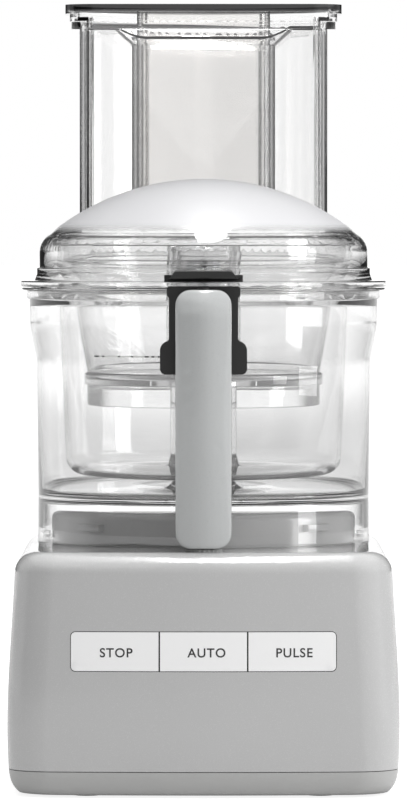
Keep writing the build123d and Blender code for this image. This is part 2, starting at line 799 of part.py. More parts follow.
small_wall = 2.2
collar_z = 406.4
with BuildPart() as small_pusher:
    add(upright(small_tube_outline(0), pusher_bottom, full_height - 3.5))
    add(upright(small_tube_outline(3), collar_z, collar_z + 2))
    add(upright(small_tube_outline(-small_wall), pusher_bottom + small_wall, full_height), mode=Mode.SUBTRACT)
save(small_pusher, "small_pusher")
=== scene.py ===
import json
import math

import bmesh
import bpy
from mathutils import Matrix, Vector
from mathutils.bvhtree import BVHTree


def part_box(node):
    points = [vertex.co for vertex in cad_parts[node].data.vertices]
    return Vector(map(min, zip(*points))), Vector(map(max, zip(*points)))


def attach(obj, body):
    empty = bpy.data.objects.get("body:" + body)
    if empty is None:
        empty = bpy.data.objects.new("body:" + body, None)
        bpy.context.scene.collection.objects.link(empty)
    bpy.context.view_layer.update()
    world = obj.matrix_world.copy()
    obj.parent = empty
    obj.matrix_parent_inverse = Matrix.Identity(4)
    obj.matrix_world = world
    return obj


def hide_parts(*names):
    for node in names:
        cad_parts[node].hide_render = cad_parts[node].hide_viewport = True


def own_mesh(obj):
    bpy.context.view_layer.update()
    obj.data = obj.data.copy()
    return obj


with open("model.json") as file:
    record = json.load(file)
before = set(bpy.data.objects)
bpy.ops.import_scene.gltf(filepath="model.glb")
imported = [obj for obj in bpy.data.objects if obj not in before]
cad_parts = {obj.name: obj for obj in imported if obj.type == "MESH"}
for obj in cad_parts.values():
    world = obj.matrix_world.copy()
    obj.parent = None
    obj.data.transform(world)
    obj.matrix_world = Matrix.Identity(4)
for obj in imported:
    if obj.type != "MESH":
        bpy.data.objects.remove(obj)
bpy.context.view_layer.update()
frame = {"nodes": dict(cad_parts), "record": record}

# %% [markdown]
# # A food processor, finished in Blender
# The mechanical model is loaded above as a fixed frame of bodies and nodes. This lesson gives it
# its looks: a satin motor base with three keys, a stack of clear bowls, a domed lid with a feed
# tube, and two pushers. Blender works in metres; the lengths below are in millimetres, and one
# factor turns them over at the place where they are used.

MM = 0.001
# Points closer than this many millimetres are joined into one.
WELD = 0.001
scene = bpy.context.scene

# %% [markdown]
# ## Where things are
# Sizes come from the frame, so that every new piece stays on the mechanical parts. The bowls, the
# lid and the motor share one upright axis, which passes through the middle of the plinth's box.


# %% Places read from the frame
def span(name):
    """Lowest and highest corner of a frame node, in millimetres."""
    low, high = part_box(name)
    return low / MM, high / MM


plinth_low, plinth_high = span("plinth")
axis_y = (plinth_low.y + plinth_high.y) / 2
grip_low, grip_high = span("handle_shell")
bowl_low = span("main_bowl")[0]
gaiter_low, gaiter_high = span("plunger_gaiter")
record = frame["record"]
node_body = {name: body for body, names in record["behaviour"]["bodies"].items() for name in names}
node_slot = {row["node"]: row["material_slot"] for row in record["subparts"]}
print("bowl axis stands at y =", round(axis_y, 2), "and", len(node_slot), "nodes are loaded")


# %% [markdown]
# ## Colour and node helpers
# A colour is written as the hex code that a paint chart or a screen would give. Shaders work in
# linear light, so one function turns the code to linear values. Another adds a shader node with
# its settings and its links, and the rest are the few steps that most materials share: noise, a
# bump, a ramp, a sum and a mix. They keep each material short enough to read as a recipe.


# %% Colour and nodes
def linear(code, alpha=1.0):
    """Linear RGBA of an sRGB hex code such as 'D8D8D6'."""
    parts = [int(code[place:place + 2], 16) / 255 for place in (0, 2, 4)]
    bent = [p / 12.92 if p <= 0.04045 else ((p + 0.055) / 1.055) ** 2.4 for p in parts]
    return (*bent, alpha)


def node(material, kind, settings=None, **inputs):
    """Adds a shader node. Settings are attributes; an input is a value or another node's output."""
    made = material.node_tree.nodes.new(kind)
    for name, value in (settings or {}).items():
        setattr(made, name, value)
    for name, value in inputs.items():
        by_number = name.startswith("_")
        socket = made.inputs[int(name[1:]) if by_number else name.replace("_", " ")]
        if isinstance(value, bpy.types.NodeSocket):
            material.node_tree.links.new(value, socket)
        else:
            socket.default_value = value
    return made


def new_material(name):
    """Empty node material with its output; gives the material and the output node."""
    material = bpy.data.materials.new(name)
    material.use_nodes = True
    material.node_tree.nodes.clear()
    return material, material.node_tree.nodes.new("ShaderNodeOutputMaterial")


def finish_material(material, output, shader):
    """Links a shader to the material's output."""
    material.node_tree.links.new(shader.outputs["BSDF"], output.inputs["Surface"])
    return material


def grain(material, size_mm, detail=3.0):
    """Noise on Object coordinates whose blobs are about size_mm across."""
    place = node(material, "ShaderNodeTexCoord").outputs["Object"]
    noise = node(
        material, "ShaderNodeTexNoise", Vector=place, Scale=1 / (size_mm * MM), Detail=detail,
    )
    return noise.outputs["Fac"]


def bumped(material, height, depth_mm, strength):
    """Surface normal bent by a height pattern that is depth_mm deep."""
    bump = node(
        material, "ShaderNodeBump", Height=height, Distance=depth_mm * MM, Strength=strength,
    )
    return bump.outputs["Normal"]


def ramp(material, value, start=0.0, end=1.0, low=0.0, high=1.0, smooth=False):
    """Goes from low to high while a value goes from start to end, and stays there beyond."""
    kind = "SMOOTHSTEP" if smooth else "LINEAR"
    made = node(
        material, "ShaderNodeMapRange", {"interpolation_type": kind}, Value=value,
        From_Min=start, From_Max=end, To_Min=low, To_Max=high,
    )
    return made.outputs["Result"]


def maths(material, operation, *values):
    """Result of a Math node on numbers or other nodes' outputs."""
    inputs = {f"_{place}": value for place, value in enumerate(values)}
    made = node(material, "ShaderNodeMath", {"operation": operation}, **inputs)
    return made.outputs["Value"]


def blend(material, factor, first, second):
    """Mixes two hex colours by a factor between 0 and 1."""
    mix = node(
        material, "ShaderNodeMix", {"data_type": "RGBA"},
        Factor=factor, A=linear(first), B=linear(second),
    )
    return mix.outputs["Result"]


# %% [markdown]
# ## Moulded plastics
# The casing is ABS, injection moulded in a steel mould whose face was eroded by sparks. That leaves
# a fine even grain about half a millimetre across, which softens the highlights, and very faint
# broad flow marks in the colour. A noise texture at each of the two sizes gives both: the fine one
# drives the roughness and the bump, and the broad one mixes two nearly equal shades. An image
# texture of the grain would also do, but its tiles would show their seams on a face this large.


# %% Moulded plastic
def moulded_plastic(name, shade, deep_shade, roughness, grain_mm, bump_mm, coat=0.0):
    """Opaque moulded plastic or rubber: fine grain in the bump, faint flow marks in the colour."""
    material, output = new_material(name)
    flow = grain(material, flow_mark_mm, 2.0)
    fine = grain(material, grain_mm)
    shader = node(
        material, "ShaderNodeBsdfPrincipled", Base_Color=blend(material, flow, deep_shade, shade),
        Roughness=ramp(material, fine, low=roughness - 0.04, high=roughness + 0.05),
        Normal=bumped(material, fine, bump_mm, strength=0.25), IOR=plastic_ior,
        Coat_Weight=coat, Coat_Roughness=0.12,
    )
    return finish_material(material, output, shader)


flow_mark_mm = 45.0
plastic_ior = 1.53
# Each row below gives a name, two nearly equal shades, the roughness, the grain's size and depth
# in millimetres, and the weight of a clear coat where there is one.
# Housing: ABS under a thin lacquer, whose coat draws one soft white band on the top edge.
housing_abs = moulded_plastic("moulded_abs_light_grey", "C4C4C4", "BFBFBF", 0.26, 0.5, 0.012, 1.0)
# Lower casing: the same ABS, a little darker and more matt.
pan_abs = moulded_plastic("moulded_abs_casing_grey", "BCBCBB", "B7B7B6", 0.34, 0.5, 0.02, 0.2)
# Keys: white ABS, the brightest opaque surface.
key_abs = moulded_plastic("moulded_abs_white", "FFFFFF", "FDFDFD", 0.24, 0.5, 0.01, 0.2)
# Grip: polypropylene with a silky gloss.
handle_pp = moulded_plastic("moulded_polypropylene_grey", "BABCBC", "B5B7B7", 0.28, 0.5, 0.012, 0.7)
# Handle frame and lid tab: black nylon, strong and slightly dull.
black_nylon = moulded_plastic("moulded_nylon_black", "222222", "1B1B1B", 0.42, 0.4, 0.03)
# Gaiter: soft grey rubber, matt.
grey_rubber = moulded_plastic("moulded_rubber_grey", "B4B5B4", "A8A9A8", 0.55, 0.4, 0.05)
# Feet: black rubber, the most matt surface.
black_rubber = moulded_plastic("moulded_rubber_black", "1E1E1E", "161616", 0.7, 0.4, 0.05)
# Words on the keys, and the level mark: pad printed inks, too thin to have an edge.
key_ink = moulded_plastic("printed_ink_dark_grey", "2E2E2E", "262626", 0.5, 0.3, 0.005)
white_ink = moulded_plastic("printed_ink_white", "F6F6F4", "EEEEEC", 0.5, 0.3, 0.005)
# Control board: epoxy laminate under green lacquer.
board_epoxy = moulded_plastic("laminated_epoxy_green", "2F6B45", "2A6140", 0.4, 0.8, 0.02)
print("opaque plastics:", housing_abs.name, pan_abs.name, key_abs.name, handle_pp.name)


# %% [markdown]
# ## Clear plastic
# The bowls, the lid and the large pusher are clear polycarbonate. Its high index of refraction,
# 1.585, bends the white backdrop out of sight near every edge, and that draws the dark outlines by
# which a clear part is seen at all. The mould was polished, so the surface is almost a mirror,
# with a very slight ripple a few centimetres long. The lid's crown was blasted in the mould and is
# frosted, so its roughness changes with height; the bowls' walls are clear all the way.


# %% Clear and frosted plastics
def point_parts(material):
    """X, Y and Z of the shaded point in its own piece, in metres."""
    place = node(material, "ShaderNodeTexCoord").outputs["Object"]
    return node(material, "ShaderNodeSeparateXYZ", Vector=place).outputs


def outside_tube(material, parts):
    """1 on the lid's dome and 0 on the feed tube, told apart by where a point lies."""
    across = maths(material, "ABSOLUTE", parts["X"])
    beside = maths(material, "GREATER_THAN", across, (tube_half_width + side_margin) * MM)
    before = maths(material, "LESS_THAN", parts["Y"], (tube_front - front_margin) * MM)
    return maths(material, "MAXIMUM", beside, before)


def crown_frost(material, low, high):
    """1 on the lid between two heights in mm, where it is frosted, and 0 elsewhere."""
    parts = point_parts(material)
    starts = ramp(
        material, parts["Z"], (low - frost_fade) * MM, (low + frost_fade) * MM, smooth=True,
    )
    ends = ramp(material, parts["Z"], high * MM, (high + 1) * MM, low=1.0, high=0.0)
    crown = maths(material, "MULTIPLY", starts, ends)
    return maths(material, "MULTIPLY", crown, outside_tube(material, parts))


def clear_plastic(name, tint, roughness, ripple_mm, frosted=None, dark_above=None):
    """Clear moulded plastic; it may be frosted between two heights, or dark above one, in mm."""
    material, output = new_material(name)
    ripple = grain(material, ripple_length_mm, 1.0)
    shader = node(
        material, "ShaderNodeBsdfPrincipled", Base_Color=linear(tint), Roughness=roughness,
        IOR=clear_ior, Transmission_Weight=1.0,
        Normal=bumped(material, ripple, ripple_mm, strength=0.3),
    )
    changes = {}
    if frosted:
        frost = crown_frost(material, *frosted)
        changes = {
            "Base Color": blend(material, frost, tint, frost_shade),
            "Transmission Weight": ramp(material, frost, low=1.0, high=frost_clearness),
            "Roughness": ramp(material, frost, low=roughness, high=frost_roughness),
        }
    if dark_above:
        height = point_parts(material)["Z"]
        rim = ramp(material, height, dark_above * MM, (dark_above + rim_fade) * MM)
        changes["Base Color"] = blend(material, rim, tint, rim_shade)
    for socket, change in changes.items():
        material.node_tree.links.new(change, shader.inputs[socket])
    return finish_material(material, output, shader)


tube_half_width = 68.3
tube_offset = 6.0
tube_front = axis_y + tube_offset
side_margin, front_margin = 0.8, 0.5
crown_low, crown_high = 302.0, 329.5
rim_line = 421.6
ripple_length_mm = 22.0
clear_ior = 1.585
frost_fade, frost_shade, frost_clearness, frost_roughness = 3, "D2D2D4", 0.12, 0.45
rim_fade, rim_shade = 0.6, "3C3C3C"
# Each row gives a name, a tint, the roughness and the ripple's depth in millimetres.
# Bowls: plain polycarbonate.
clear_pc = clear_plastic("moulded_polycarbonate_clear", "FEFEFE", 0.01, 0.0006)
# Lid: the same, with the frosted crown.
lid_pc = clear_plastic(
    "moulded_polycarbonate_frosted_crown", "FEFEFE", 0.01, 0.0006, frosted=(crown_low, crown_high),
)
# Large pusher: the same, tinted dark where its rim closes the tube.
pusher_pc = clear_plastic(
    "moulded_polycarbonate_dark_rim", "FEFEFE", 0.01, 0.0006, dark_above=rim_line,
)
# Small pusher: styrene acrylonitrile (SAN), a little less clear.
san_clear = clear_plastic("moulded_styrene_acrylonitrile", "FFFEFD", 0.03, 0.0006)
print("clear plastics:", clear_pc.name, lid_pc.name, san_clear.name)

# %% [markdown]
# ## Metals
# The shaft, springs, screws and motor parts are metal. A metal has no colour under its surface: the
# reflection itself is tinted, which Metallic 1 says. Turning, drawing or casting leaves marks of a
# few tenths of a millimetre, and noise of that size varies the roughness and the bump.


# %% Worked metal
def worked_metal(name, shade, roughness, mark_mm, bump_mm):
    """Bare metal whose working marks are about mark_mm across."""
    material, output = new_material(name)
    marks = grain(material, mark_mm)
    shader = node(
        material, "ShaderNodeBsdfPrincipled", Base_Color=linear(shade), Metallic=1.0,
        Roughness=ramp(material, marks, low=roughness - 0.06, high=roughness + 0.08),
        Normal=bumped(material, marks, bump_mm, strength=0.3),
    )
    return finish_material(material, output, shader)


# Each row gives a name, a shade, the roughness, and the marks' size and depth in millimetres.
# Shafts and bearings: ground steel, almost bright.
ground_steel = worked_metal("ground_steel_bright", "C8CACC", 0.2, 0.3, 0.002)
# Springs: drawn steel wire.
drawn_steel = worked_metal("drawn_spring_steel", "A9ABAE", 0.3, 0.3, 0.004)
# Screws: zinc plated steel, faintly blue.
plated_steel = worked_metal("zinc_plated_steel", "BCC2C8", 0.32, 0.4, 0.006)
# Motor brackets: die cast aluminium, grainy.
cast_aluminium = worked_metal("die_cast_aluminium", "C4C6C8", 0.5, 0.8, 0.03)
# Motor core: stacked electrical sheet, dark and dull.
core_sheet = worked_metal("stamped_electrical_sheet", "6C6E70", 0.55, 0.5, 0.02)
# Windings: enamelled copper wire, orange brown.
copper_wire = worked_metal("enamelled_copper_wire", "C9764A", 0.3, 0.6, 0.05)
print("metals:", ground_steel.name, drawn_steel.name, plated_steel.name, cast_aluminium.name)

# %% [markdown]
# ## A material for every node
# The record names a material slot for each part, and the slots choose from the recipes above. The
# parts inside the closed base have theirs too, so that a view of the opened model is right.

# %% Materials on the frame
slot_material = {
    "housing_abs": housing_abs, "pan_abs": pan_abs, "key_abs": key_abs, "handle_plastic": handle_pp,
    "black_plastic": black_nylon, "clear_plastic": clear_pc, "milky_plastic": san_clear,
    "grey_rubber": grey_rubber, "foot_rubber": black_rubber, "screw_steel": plated_steel,
    "spring_steel": drawn_steel, "bearing_steel": ground_steel, "cast_aluminium": cast_aluminium,
    "lamination": core_sheet, "copper": copper_wire, "board": board_epoxy,
}
for name, slot_name in node_slot.items():
    part = frame["nodes"][name]
    part.data.materials.clear()
    part.data.materials.append(slot_material[slot_name])
print("slots:", sorted(set(node_slot.values())))

# %% [markdown]
# ## Smooth skins
# A mesh that comes from a CAD program is a heap of loose triangles with a facet at every one. Each
# part that shows gets a copy whose points are welded and whose faces are shaded as one surface,
# except across a real edge. Weighted normals then keep large flat faces flat beside their rounded
# corners; without them the corner's shading runs out over the flat as long dark wedges.


# %% Smooth copies of the visible parts
def mesh_data(name, mesh):
    """Mesh data made of a bmesh, which is freed."""
    data = bpy.data.meshes.new(name)
    mesh.to_mesh(data)
    mesh.free()
    return data


def to_metres(mesh):
    """Scales a bmesh that was drawn in millimetres."""
    bmesh.ops.scale(mesh, verts=mesh.verts, vec=(MM, MM, MM))


def add_piece(name, mesh, material, body, sharp=30):
    """Makes an object of a bmesh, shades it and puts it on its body."""
    data = mesh_data(name, mesh)
    data.shade_smooth()
    data.set_sharp_from_angle(angle=math.radians(sharp))
    data.materials.append(material)
    piece = bpy.data.objects.new(name, data)
    scene.collection.objects.link(piece)
    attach(piece, body)
    return piece


def stand_in(name, mesh, material, sharp=30, flat_faces=False):
    """A piece that takes a frame node's place; its large flat faces may be kept flat."""
    piece = add_piece(name + "_skin", mesh, material, node_body[name], sharp)
    if flat_faces:
        weighted = piece.modifiers.new("flat_faces_stay_flat", "WEIGHTED_NORMAL")
        weighted.keep_sharp = True
    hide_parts(name)
    return piece


def welded(name):
    """A bmesh of a frame node with its loose triangles joined."""
    mesh = bmesh.new()
    mesh.from_mesh(frame["nodes"][name].data)
    bmesh.ops.remove_doubles(mesh, verts=mesh.verts, dist=WELD * MM)
    return mesh


def smooth_copy(name, material=None):
    """A smooth copy of a frame node, in the material of its slot or in another."""
    finish = material or frame["nodes"][name].data.materials[0]
    return stand_in(name, welded(name), finish, flat_faces=True)


skins = {
    name: smooth_copy(name)
    for name in (
        "motor_housing", "base_pan", "key_stop", "key_auto", "key_pulse", "handle_frame",
        "pusher_sole", "lid_tab", "safety_rod", "drive_spindle", "rubber_feet",
    )
}
skins["lid"] = smooth_copy("lid", lid_pc)
print("smooth skins:", len(skins))

# %% [markdown]
# ## Springs
# Two small coil springs push the safety rod and the plunger back up. Each keeps one end on its seat
# while the other follows a collar, which travels 3.5 mm. Here each spring gets a smooth copy with a
# mesh of its own, at its full length.

# %% Springs
for name, joint in (("rod_spring", "rod_slide"), ("plunger_spring", "plunger_slide")):
    coil = smooth_copy(name)
    coil_low, coil_high = span(name)
    middle = (coil_low + coil_high) / 2
    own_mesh(coil)

# %% [markdown]
# ## Bowls and plinth
# The three bowls and the plinth are turned shapes: a potter's or a lathe's kind of form. Each is
# drawn as one closed outline of its wall, inside and outside, in the plane beside the axis. The
# outline's corners are rounded with a vertex bevel, and the outline is spun round the axis in 160
# steps. That gives far smoother clear walls than the CAD mesh, whose facets would break up the
# thin dark outlines of a clear part. A corner is a radius, a height and a rounding.


# %% Spinning a wall
def round_corner(mesh, corner, turn, radius, segments):
    """Rounds one corner of a flat outline, where its direction turns by an angle, to a radius."""
    bmesh.ops.bevel(
        mesh, geom=[corner], offset=radius * math.tan(turn / 2), offset_type="OFFSET",
        affect="VERTICES", segments=segments, profile=0.5, material=-1, clamp_overlap=True,
    )


def spun(corners, steps=160):
    """A bmesh in mm, made by turning a closed outline with rounded corners round the Z axis."""
    mesh = bmesh.new()
    points = [mesh.verts.new((radius, 0, height)) for radius, height, rounding in corners]
    for point, following in zip(points, points[1:] + points[:1]):
        mesh.edges.new((point, following))
    places = [Vector((radius, height)) for radius, height, rounding in corners]
    for number, (radius, height, rounding) in enumerate(corners):
        arriving = places[number] - places[number - 1]
        leaving = places[(number + 1) % len(places)] - places[number]
        if rounding:
            round_corner(mesh, points[number], arriving.angle(leaving), rounding, segments=6)
    bmesh.ops.spin(
        mesh, geom=mesh.verts[:] + mesh.edges[:], cent=(0, 0, 0), axis=(0, 0, 1), dvec=(0, 0, 0),
        angle=math.tau, steps=steps, use_merge=True, use_duplicate=False,
    )
    bmesh.ops.remove_doubles(mesh, verts=mesh.verts, dist=WELD)
    bmesh.ops.recalc_face_normals(mesh, faces=mesh.faces)
    return mesh


def add_lugs(mesh, count, middle_radius, size, low, start):
    """Adds small bevelled blocks round the axis to a spun bmesh."""
    depth, width, height = size
    for number in range(count):
        turn = start + math.tau * number / count
        block = bmesh.new()
        bmesh.ops.create_cube(block, size=1)
        bmesh.ops.scale(block, verts=block.verts, vec=(depth, width, height))
        bmesh.ops.bevel(
            block, geom=block.edges[:], offset=0.5, offset_type="OFFSET", affect="EDGES",
            segments=2, profile=0.5, material=-1,
        )
        outward = Matrix.Translation((middle_radius, 0, low + height / 2))
        placed = Matrix.Rotation(turn, 4, "Z") @ outward
        bmesh.ops.transform(block, matrix=placed, verts=block.verts)
        data = mesh_data("lug", block)
        mesh.from_mesh(data)
        bpy.data.meshes.remove(data)


def place_spun(name, mesh, material):
    """Moves a spun bmesh to the bowl axis and lets it stand for its frame node."""
    bmesh.ops.translate(mesh, verts=mesh.verts, vec=(0, axis_y, 0))
    to_metres(mesh)
    skins[name] = stand_in(name, mesh, material)
    print(name, "has", len(skins[name].data.polygons), "faces")


# %% Three bowls
wall = 2.4
floor_z = 155.7
bowl_radius = 90.9
skirt_low = bowl_low.z
swell_low, swell_high = 229, 248
ledge_z, rim_under, rim_z = 263.4, 268, 269.4
rim_radius = 99.8
hub_outer, hub_inner, hub_top = 15.8, 13.8, 284
inside = bowl_radius - wall
main_mesh = spun([
    (bowl_radius + 0.2, skirt_low, 0), (bowl_radius, floor_z, 0), (91.6, swell_low, 20),
    (95.5, swell_high, 30), (95.7, ledge_z, 0), (97, ledge_z, 0), (97, rim_under, 0.5),
    (rim_radius, rim_under, 0.5), (rim_radius, rim_z, 0.5), (94.8, rim_z, 0.6), (94.8, 263, 2),
    (93.2, 260, 3), (93.1, swell_high, 28), (89.2, swell_low, 20), (inside, floor_z, 4),
    (18.5, floor_z, 6), (hub_outer, 164.8, 0), (hub_outer, hub_top, 0.5),
    (hub_inner, hub_top, 0.5), (hub_inner, floor_z - wall, 0), (inside, floor_z - wall, 1),
    (inside, skirt_low, 0),
])
add_lugs(
    main_mesh, count=4, middle_radius=86.7, size=(4.8, 14, 4), low=skirt_low + 2, start=0,
)
place_spun("main_bowl", main_mesh, clear_pc)

midi_bottom = 164.9
midi_floor = midi_bottom + wall
midi_swell_low, midi_swell_high = 262, 284
midi_ledge, midi_rim = 292.3, 296.3
midi_rim_radius = 83.2
midi_hub_inner, midi_hub_outer, midi_hub_top = 16.2, 18.2, 288
midi_mesh = spun([
    (midi_hub_inner, midi_bottom, 0), (75.6, midi_bottom, 9), (79.3, midi_swell_low, 10),
    (80.8, midi_swell_high, 10), (81, midi_ledge, 0), (midi_rim_radius, midi_ledge, 0.8),
    (midi_rim_radius, midi_rim, 1.2), (78.6, midi_rim, 0.5), (78.4, midi_swell_high, 8),
    (76.9, midi_swell_low, 8), (73.3, midi_floor, 7), (20.2, midi_floor, 3),
    (midi_hub_outer, midi_floor + 8, 2), (midi_hub_outer, midi_hub_top, 0.5),
    (midi_hub_inner, midi_hub_top, 0.5),
])
place_spun("midi_bowl", midi_mesh, clear_pc)

mini_floor = 219.0
mini_bottom = mini_floor - wall
mini_foot = 204.3
mini_ledge, mini_rim_under, mini_rim = 281.2, 296.6, 298.4
mini_hub_inner, mini_hub_outer, mini_hub_top = 18.6, 20.4, 292
mini_mesh = spun([
    (mini_hub_inner, mini_bottom, 0), (61.6, mini_bottom, 1), (61.6, mini_foot, 0.5),
    (64, mini_foot, 0.5), (64, 216, 0), (65.5, 216, 0.5), (65.5, 222, 0.8), (64, 223, 0),
    (74, mini_ledge, 0), (77.4, mini_ledge, 0.8), (77.4, mini_rim_under, 0),
    (80, mini_rim_under, 0.5), (80, mini_rim, 0.5), (75, mini_rim, 0.5),
    (75, mini_ledge + wall, 1), (72, mini_ledge + wall, 0), (61.4, mini_floor, 6),
    (22.6, mini_floor, 3), (mini_hub_outer, mini_floor + 8, 2),
    (mini_hub_outer, mini_hub_top, 0.4), (mini_hub_inner, mini_hub_top, 0.4),
])
place_spun("mini_bowl", mini_mesh, clear_pc)

# %% Plinth with its four lugs
skirt_bottom, plinth_foot = 128, 130
deck_under, deck_top = 146, 148.6
collar_inner, collar_outer, collar_top = 12, 14.5, 151.6
plinth_mesh = spun([
    (80.6, skirt_bottom, 0), (91, skirt_bottom, 0), (91, plinth_foot, 0), (83.3, plinth_foot, 0.4),
    (83.3, deck_top, 4.5), (collar_outer, deck_top, 0), (collar_outer, collar_top, 1),
    (collar_inner, collar_top, 0), (collar_inner, deck_under, 0), (80.6, deck_under, 2),
])
add_lugs(
    plinth_mesh, count=4, middle_radius=84.8, size=(4.6, 16, 4), low=138, start=math.radians(45),
)
place_spun("plinth", plinth_mesh, housing_abs)

# %% [markdown]
# ## Pushers
# The large pusher fills the D-shaped feed tube, and a smaller tube with a funnel mouth runs down
# through it for the small pusher. Both are thin clear walls with rounded upright corners. Each
# outline starts as a disc or a square, is cut by planes and gets its corners from a vertex bevel.
# Raised blocks of these outlines are then joined and cut by the boolean modifier, in the order in
# which a mould maker would think of them: outer block, rims, then the hollows.


# %% Outlines and blocks
def round_corners(mesh, radius):
    """Rounds every real corner of a flat outline."""
    for corner in mesh.verts[:]:
        sides = [edge.other_vert(corner).co - corner.co for edge in corner.link_edges]
        turn = math.pi - sides[0].angle(sides[1])
        if turn > math.radians(15):
            round_corner(mesh, corner, turn, radius, segments=12)


def feed_face(grow, height):
    """D-shaped plan of the feed tube, grown by some distance, as one face at a height."""
    mesh = bmesh.new()
    bmesh.ops.create_circle(mesh, cap_ends=True, segments=160, radius=tube_back_radius + grow)
    reach = tube_half_width + grow
    for place, outward in (
        ((reach, 0, 0), (1, 0, 0)), ((-reach, 0, 0), (-1, 0, 0)),
        ((0, tube_offset - grow, 0), (0, -1, 0)),
    ):
        bmesh.ops.bisect_plane(
            mesh, geom=mesh.verts[:] + mesh.edges[:] + mesh.faces[:], plane_co=place,
            plane_no=outward, clear_outer=True,
        )
    round_corners(mesh, tube_corner + grow)
    bmesh.ops.translate(mesh, verts=mesh.verts, vec=(0, axis_y, height))
    return mesh


def small_face(grow, height):
    """Rounded plan of the small tube, grown by some distance, as one face at a height."""
    mesh = bmesh.new()
    bmesh.ops.create_grid(mesh, x_segments=1, y_segments=1, size=1)
    half = (small_half_width + grow, small_half_depth + grow, 1)
    bmesh.ops.scale(mesh, verts=mesh.verts, vec=half)
    round_corners(mesh, tube_corner + grow)
    bmesh.ops.translate(mesh, verts=mesh.verts, vec=(0, axis_y + small_offset, height))
    return mesh


def raised(face, top, grown=None):
    """A closed block from a flat face up to a height, its top grown sideways when asked."""
    moved = bmesh.ops.extrude_face_region(face, geom=face.faces[:])["geom"]
    points = [item for item in moved if isinstance(item, bmesh.types.BMVert)]
    for point in points:
        point.co.z = top
    if grown:
        around = Matrix.Translation((0, -axis_y - small_offset, 0))
        bmesh.ops.scale(face, verts=points, vec=(*grown, 1), space=around)
    bmesh.ops.recalc_face_normals(face, faces=face.faces)
    return face


def small_funnel(grow, low, top):
    """Block that widens upwards from the small tube's plan, as the funnel does."""
    spread = (top - low) * math.tan(math.radians(funnel_angle))
    wide = (small_half_width + grow + spread) / (small_half_width + grow)
    deep = (small_half_depth + grow + spread) / (small_half_depth + grow)
    return raised(small_face(grow, low), top, (wide, deep))


def carved(steps):
    """Joins, cuts or intersects blocks in turn, and gives the result as one bmesh."""
    holders = []
    for number, (operation, block) in enumerate(steps):
        block_name = f"block_{number}"
        holder = bpy.data.objects.new(block_name, mesh_data(block_name, block))
        scene.collection.objects.link(holder)
        if holders:
            cut = holders[0].modifiers.new(f"step_{number}", "BOOLEAN")
            cut.operation = operation
            cut.solver = "EXACT"
            cut.object = holder
        holders.append(holder)
    shaped = bpy.data.meshes.new_from_object(
        holders[0].evaluated_get(bpy.context.evaluated_depsgraph_get()),
    )
    result = bmesh.new()
    result.from_mesh(shaped)
    bpy.data.meshes.remove(shaped)
    for holder in holders:
        bpy.data.objects.remove(holder)
    return result


def place_carved(name, mesh, material):
    """Scales a carved bmesh to metres and lets it stand for its frame node."""
    bmesh.ops.remove_doubles(mesh, verts=mesh.verts, dist=WELD)
    to_metres(mesh)
    open_edges = sum(not edge.is_manifold for edge in mesh.edges)
    skins[name] = stand_in(name, mesh, material, flat_faces=True)
    faces = len(skins[name].data.polygons)
    print(name, "has", faces, "faces and", open_edges, "open edges")


tube_back_radius = 78
tube_corner = 8
small_half_width, small_half_depth, small_offset = 36.8, 21.8, 39.6
funnel_angle = 50

# %% Large pusher
pusher_low, pusher_top = (corner.z for corner in span("large_pusher"))
step_low, rim_low = 415.8, 420.0
deck_low, deck_high = 411.2, 413.2
funnel_low = 403.5
above = pusher_top + 1
# How far each wall's outside and inside lie beyond the plan of the feed tube or the small tube.
outer_grow, inner_grow = -3.8, -5.8
step_outer, step_inner = 5.4, 3.2
rim_outer, rim_inner = 7.9, 5.7
small_outer, small_inner = 2.8, 0.8
# The funnel stays inside the pusher's wall: its hollow, then its outside.
hollow_limit, funnel_limit = -6, -4.2
inner_funnel = carved([
    ("UNION", small_funnel(small_inner, funnel_low, deck_high + 0.5)),
    ("INTERSECT", raised(feed_face(hollow_limit, funnel_low - 1), above)),
])
outer_funnel = carved([
    ("UNION", small_funnel(small_outer, funnel_low, deck_low + 0.5)),
    ("INTERSECT", raised(feed_face(funnel_limit, funnel_low - 1), above)),
])
large_mesh = carved([
    ("UNION", raised(feed_face(outer_grow, pusher_low), rim_low)),
    ("UNION", raised(feed_face(step_outer, step_low), rim_low)),
    ("UNION", raised(feed_face(rim_outer, rim_low), pusher_top)),
    ("DIFFERENCE", raised(feed_face(inner_grow, deck_high), above)),
    ("DIFFERENCE", raised(feed_face(step_inner, rim_low - 2), above)),
    ("DIFFERENCE", raised(feed_face(rim_inner, rim_low + 1), above)),
    ("DIFFERENCE", raised(feed_face(inner_grow, pusher_low - 1), deck_low)),
    ("UNION", outer_funnel),
    ("UNION", raised(small_face(small_outer, pusher_low), deck_low + 1)),
    ("DIFFERENCE", inner_funnel),
    ("DIFFERENCE", raised(small_face(small_inner, pusher_low - 1), above)),
])
place_carved("large_pusher", large_mesh, pusher_pc)

# %% Small pusher
small_low, small_top = (corner.z for corner in span("small_pusher"))
small_wall = 2.2
collar_grow, collar_low, collar_high = 3, 406.4, 408.4
small_mesh = carved([
    ("UNION", raised(small_face(0, small_low), small_top)),
    ("UNION", raised(small_face(collar_grow, collar_low), collar_high)),
    ("DIFFERENCE", raised(small_face(-small_wall, small_low + small_wall), small_top + 1)),
])
place_carved("small_pusher", small_mesh, san_clear)

# %% [markdown]
# ## The grip
# The grip is one moulding whose edges are all rounded by two or three millimetres, so that it is
# soft in the hand. Rounding every edge of a boolean shape with a bevel often fails where edges
# meet. Rebuilding the skin from small cubes (a voxel remesh) and then relaxing its points rounds
# everything at once, and suits a shape that has no details finer than the rounding. Its front is
# crowned across the width first: points are drawn back by the square of their distance from the
# middle, so that light slides across the grip instead of filling it evenly.

